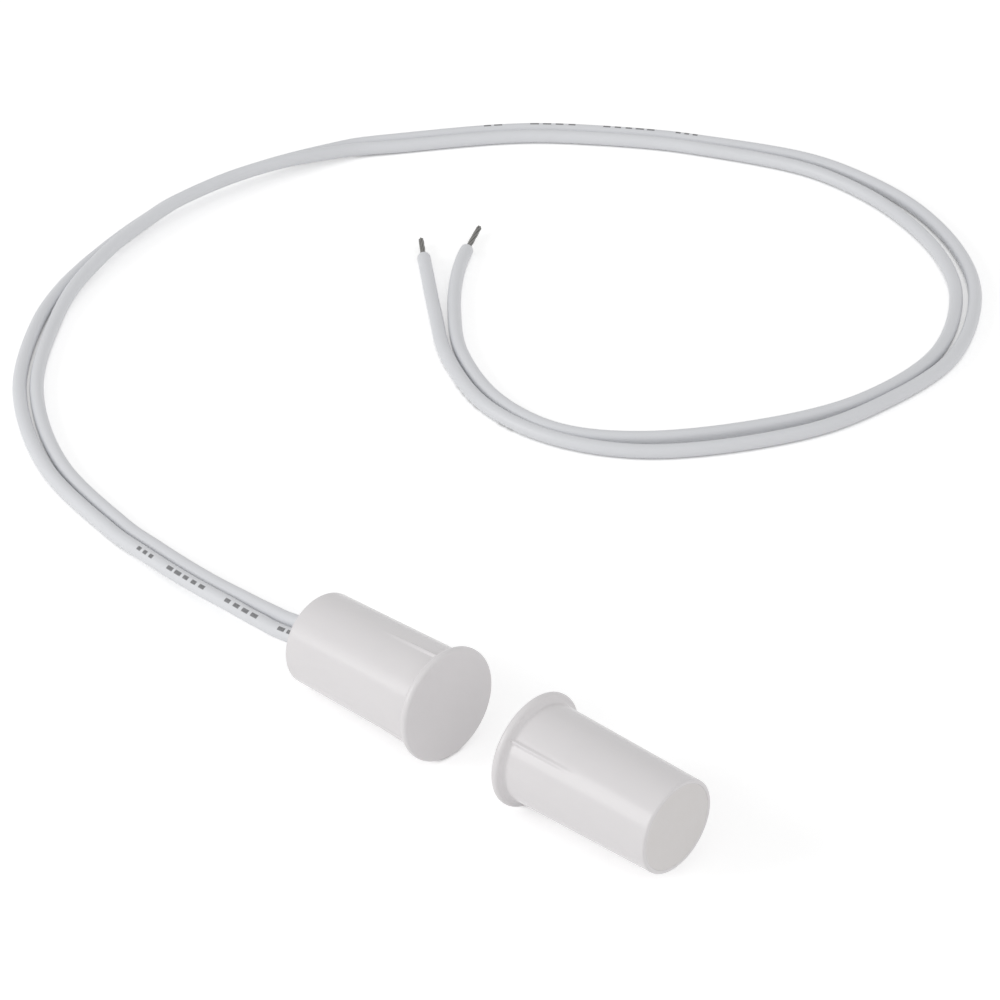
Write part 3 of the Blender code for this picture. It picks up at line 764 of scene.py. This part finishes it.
def strand_tree(material):
    """Geometry Nodes tree that lays twisted strands along a line, one in the middle and six round it."""
    tree = bpy.data.node_groups.new("twisted strands", "GeometryNodeTree")
    face = tree.interface
    face.new_socket("Geometry", in_out="INPUT", socket_type="NodeSocketGeometry")
    for name in ("Strand radius", "Lay radius", "Twist", "Outer strands"):
        face.new_socket(name, in_out="INPUT", socket_type="NodeSocketFloat")
    face.new_socket("Geometry", in_out="OUTPUT", socket_type="NodeSocketGeometry")
    flow = Flow(tree)
    given = flow.node("NodeGroupInput")
    line = flow.node("GeometryNodeMeshToCurve", {}, {"Mesh": given})
    copies = flow.node("GeometryNodeDuplicateElements", {"domain": "SPLINE"},
                       {"Geometry": line, "Amount": 7})
    number = copies.output("Duplicate Index")
    along = flow.node("GeometryNodeSplineParameter", out="Factor")
    outer = number > 0.5
    turn = number * (2 * math.pi / given.output("Outer strands")) + along * given.output("Twist")
    tight = 1.0 - along * along * 0.06
    lay = outer * given.output("Lay radius") * tight
    spot = flow.node("GeometryNodeInputPosition")
    parts = flow.node("ShaderNodeSeparateXYZ", {}, {0: spot})
    moved = flow.node("ShaderNodeCombineXYZ", {}, {
        "X": parts + turn.math("COSINE") * lay,
        "Y": parts.output("Y") + turn.math("SINE") * lay,
        "Z": parts.output("Z") - (number * 2.4).math("SINE").math("ABSOLUTE") * along * (0.07 * MM),
    })
    laid = flow.node("GeometryNodeSetPosition", {}, {"Geometry": copies, "Position": moved})
    ring = flow.node("GeometryNodeCurvePrimitiveCircle", {"mode": "RADIUS"},
                     {"Resolution": STRAND_SIDES, "Radius": given.output("Strand radius")})
    skin = flow.node("GeometryNodeCurveToMesh", {},
                     {"Curve": laid, "Profile Curve": ring, "Fill Caps": True})
    real = flow.node("GeometryNodeRealizeInstances", {}, {"Geometry": skin})
    done = flow.node("GeometryNodeSetMaterial", {}, {"Geometry": real, "Material": material})
    tree.links.new(done.socket, tree.nodes.new("NodeGroupOutput").inputs[0])
    return tree


def bare_end(name, cup, last, tip, leads, tree, material):
    """Twisted bare strands from inside the insulation's end to the tip."""
    start = Vector(last)
    run = Vector(on_floor(cup, tip)) - start
    inside = 0.55 * MM
    line = bmesh.new()
    total = run.length + inside
    verts = [line.verts.new((0.0, 0.0, total * k / STRAND_STEPS)) for k in range(STRAND_STEPS + 1)]
    for near, far in zip(verts[:-1], verts[1:]):
        line.edges.new((near, far))
    piece = plain_object(name, line, material)
    radius = leads.strand_radius
    grown(piece, tree, {"Strand radius": radius, "Lay radius": 2 * radius * 0.99,
                        "Twist": leads.strand_twist, "Outer strands": 6.0})
    direction = run.normalized()
    turn = direction.to_track_quat("Z", "Y").to_matrix().to_4x4()
    settle(piece, Matrix.Translation(start - direction * inside) @ turn, STRAND_SHARP)
    bm = bmesh.new()
    bm.from_mesh(piece.data)
    bmesh.ops.remove_doubles(bm, verts=bm.verts, dist=1e-7)
    bmesh.ops.recalc_face_normals(bm, faces=bm.faces)
    bm.to_mesh(piece.data)
    bm.free()
    return piece


# ---------------------------------------------------------------- operators

def dress(node, material):
    """Give a carried-over node its material."""
    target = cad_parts[node]
    target.data.materials.clear()
    target.data.materials.append(material)


class CONTACT_OT_camera(bpy.types.Operator):
    """Place the camera where the photograph was taken from"""
    bl_idname = "contact.camera"
    bl_label = "Camera"

    def execute(self, context):
        data = bpy.data.cameras.new("camera")
        camera = bpy.data.objects.new("camera", data)
        context.scene.collection.objects.link(camera)
        data.sensor_width = FILM
        data.lens = LENS
        data.clip_start = 0.01
        data.clip_end = 20.0
        swing, nod, roll = (Matrix.Rotation(math.radians(turn), 4, axis) for turn, axis in CAMERA_TURNS)
        middle = context.scene.contact_cup.middle
        spot = (CAMERA_SPOT[0] - middle[0], CAMERA_SPOT[1] - middle[1], CAMERA_SPOT[2])
        camera.matrix_world = Matrix.Translation(spot) @ (swing @ nod @ roll)
        context.scene.camera = camera
        return {"FINISHED"}


class CONTACT_OT_leads(bpy.types.Operator):
    """Build the two insulated leads with their twisted bare ends"""
    bl_idname = "contact.leads"
    bl_label = "Leads"

    def execute(self, context):
        scene = context.scene
        cup, leads, tones = scene.contact_cup, scene.contact_leads, scene.contact_finish
        metal = drawn_metal("tinned strands", tones.metal, 0.36, 0.45, 9.0)
        strands = strand_tree(metal)
        printed = pvc_jacket("printed jacket", tones.jacket, tones.ink, leads)
        plain = pvc_jacket("plain jacket", tones.jacket)
        plans = (("lead_a", "wire_a", -1, A_END, A_TIP, A_LEAN, printed, "jacket_a"),
                 ("lead_b", "wire_b", 1, B_END, B_TIP, B_LEAN, plain, "jacket_b"))
        place = half_matrix(cup, 1)
        for name, node, side, ending, tip, lean, jacket, slot in plans:
            route = lead_route(cup, leads, side, ending)
            tube = lead_tube(name, route, leads, lean, jacket)
            bare = bare_end(name + "_strands", cup, route[-1], tip, leads, strands, metal)
            for piece, stands_for, finish in ((tube, node, slot), (bare, node + "_tip", "tinned_copper")):
                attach(piece, "root")
                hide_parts(stands_for)
        return {"FINISHED"}


class CONTACT_OT_cups(bpy.types.Operator):
    """Build the two moulded cups with their crush ribs"""
    bl_idname = "contact.cups"
    bl_label = "Cups"

    def execute(self, context):
        scene = context.scene
        cup = scene.contact_cup
        plastic = moulded_plastic(scene.contact_finish.plastic)
        tree = rib_tree(cup, plastic)
        for name, node, side, rib in (("switch_cup", "switch_housing", 1, cup.switch_rib),
                                      ("magnet_cup", "magnet_housing", -1, cup.magnet_rib)):
            shell = build_cup(name, cup, side, rib, plastic, tree)
            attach(shell, "root")
            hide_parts(node)
        return {"FINISHED"}


class CONTACT_OT_resin(bpy.types.Operator):
    """Build the faces of the poured resin in the open ends, and dress the resin below them"""
    bl_idname = "contact.resin"
    bl_label = "Resin"

    def execute(self, context):
        scene = context.scene
        cup, leads = scene.contact_cup, scene.contact_leads
        resin = cast_resin(scene.contact_finish.resin)
        offset = cup.lead_spacing / 2
        plans = (("switch_resin_face", 1, [(0.0, -offset), (0.0, offset)]), ("magnet_resin_face", -1, []))
        for name, side, wires in plans:
            skin = resin_face(name, cup, side, wires, leads.wire_radius, resin)
            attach(skin, "root")
        dress("switch_potting", resin)
        dress("magnet_potting", resin)
        return {"FINISHED"}


class CONTACT_OT_inner_parts(bpy.types.Operator):
    """Dress the reed switch, the joints and the magnet inside the cups"""
    bl_idname = "contact.inner_parts"
    bl_label = "Inner parts"

    def execute(self, context):
        reed = drawn_metal("plated reed", (0.66, 0.64, 0.6), 0.26, 0.12, 4.0)
        joint = drawn_metal("dull solder", (0.62, 0.62, 0.63), 0.42, 0.2, 3.0)
        core = drawn_metal("tinned core", (0.66, 0.66, 0.67), 0.34, 0.15, 6.0)
        alloy = drawn_metal("ground magnet alloy", (0.3, 0.3, 0.31), 0.44, 0.25, 5.0)
        dress("reed_glass", green_glass())
        for node in ("reed_blade_front", "reed_blade_rear"):
            dress(node, reed)
        for letter in "ab":
            dress("solder_joint_" + letter, joint)
            dress("wire_" + letter + "_core_inner", core)
        dress("bar_magnet", alloy)
        return {"FINISHED"}


class CONTACT_OT_stage(bpy.types.Operator):
    """Lay the pale floor and set the soft lamp and the backdrop"""
    bl_idname = "contact.stage"
    bl_label = "Stage"

    def execute(self, context):
        scene = context.scene
        stage = scene.contact_stage
        bm = bmesh.new()
        bmesh.ops.create_circle(bm, cap_ends=True, segments=96, radius=stage.floor_radius)
        floor = plain_object("floor", bm, self.floor_material())
        self.backdrop(scene, stage)
        data = bpy.data.lights.new("soft lamp", "AREA")
        data.shape = "SQUARE"
        data.size = stage.lamp_size
        data.energy = stage.lamp_power
        lamp = bpy.data.objects.new("soft lamp", data)
        scene.collection.objects.link(lamp)
        direction = Vector(LAMP_SIDE).normalized()
        spot = Vector(LAMP_AIM) + direction * stage.lamp_distance
        turn = direction.to_track_quat("Z", "Y").to_matrix().to_4x4()
        lamp.matrix_world = Matrix.Translation(spot) @ turn
        scene.view_settings.view_transform = "Standard"
        return {"FINISHED"}

    def floor_material(self):
        """White to the camera, with the object's soft shadow kept, which is real shade from the lamp and
        sky and also painted shade where ambient occlusion cuts the glow in small gaps and at contacts.
        """
        finish = Finish("pale floor")
        flow = finish.flow
        darker, paler = (rgba((tone,) * 3) for tone in FLOOR_TONES)
        tone = finish.noise(finish.place(0.004), 2.0).mix(darker, paler)
        matte = flow.node("ShaderNodeBsdfDiffuse", {}, {"Color": tone})
        # Painted shade: ambient occlusion within a short reach dims the glow between the leads and where
        # the parts meet the floor
        open_sky = flow.node("ShaderNodeAmbientOcclusion", {"samples": 8},
                             {"Distance": PAINTED_SHADE_REACH}, out="AO")
        lit = (open_sky * PAINTED_SHADE_GAIN).math("MINIMUM", 1.0)
        glow = flow.node("ShaderNodeEmission", {}, {"Color": WHITE, "Strength": lit * FLOOR_GLOW})
        both = flow.node("ShaderNodeAddShader", {}, {0: matte, 1: glow})
        mixed = flow.node("ShaderNodeMixShader", {}, {0: directly_seen(flow), 1: matte, 2: both})
        finish.tree.nodes.remove(finish.shader)
        out = next(n for n in finish.tree.nodes if n.bl_idname == "ShaderNodeOutputMaterial")
        finish.tree.links.new(mixed.socket, out.inputs["Surface"])
        return finish.material

    def backdrop(self, scene, stage):
        """White to the camera, and a dimmer sky that lights the object from one side."""
        world = bpy.data.worlds.new("backdrop")
        scene.world = world
        world.use_nodes = True
        tree = world.node_tree
        flow = Flow(tree)
        towards = flow.node("ShaderNodeTexCoord", out="Generated")
        slope = flow.node("ShaderNodeVectorMath", {"operation": "DOT_PRODUCT"},
                          {0: towards, 1: SKY_SLOPE}, out="Value")
        sky = slope + stage.sky
        strength = sky + directly_seen(flow) * (1.0 - sky)
        background = next(n for n in tree.nodes if n.bl_idname == "ShaderNodeBackground")
        background.inputs["Color"].default_value = WHITE
        tree.links.new(strength.socket, background.inputs["Strength"])


class CONTACT_PT_panel(bpy.types.Panel):
    """Sizes, colours and build steps of the contact"""
    bl_idname = "CONTACT_PT_panel"
    bl_label = "Magnetic contact"
    bl_space_type = "VIEW_3D"
    bl_region_type = "UI"
    bl_category = "Contact"

    def draw(self, context):
        for group in ("contact_cup", "contact_leads", "contact_finish", "contact_stage"):
            owner = getattr(context.scene, group)
            box = self.layout.box()
            for name in owner.bl_rna.properties.keys():
                if name not in ("name", "rna_type"):
                    box.prop(owner, name)
        for step in STEPS:
            self.layout.operator(step.bl_idname)


GROUPS = (("contact_cup", CupSizes), ("contact_leads", LeadSizes), ("contact_finish", FinishColours),
          ("contact_stage", StageSettings))
STEPS = (CONTACT_OT_camera, CONTACT_OT_leads, CONTACT_OT_cups, CONTACT_OT_resin, CONTACT_OT_inner_parts,
         CONTACT_OT_stage)


def register():
    for name, group in GROUPS:
        bpy.utils.register_class(group)
        setattr(bpy.types.Scene, name, bpy.props.PointerProperty(type=group))
    for step in (*STEPS, CONTACT_PT_panel):
        bpy.utils.register_class(step)


def unregister():
    for step in (CONTACT_PT_panel, *reversed(STEPS)):
        bpy.utils.unregister_class(step)
    for name, group in reversed(GROUPS):
        delattr(bpy.types.Scene, name)
        bpy.utils.unregister_class(group)


def main():
    register()
    bpy.ops.contact.camera()
    bpy.ops.contact.leads()
    bpy.ops.contact.cups()
    bpy.ops.contact.resin()
    bpy.ops.contact.inner_parts()
    bpy.ops.contact.stage()


if __name__ == "__main__":
    main()
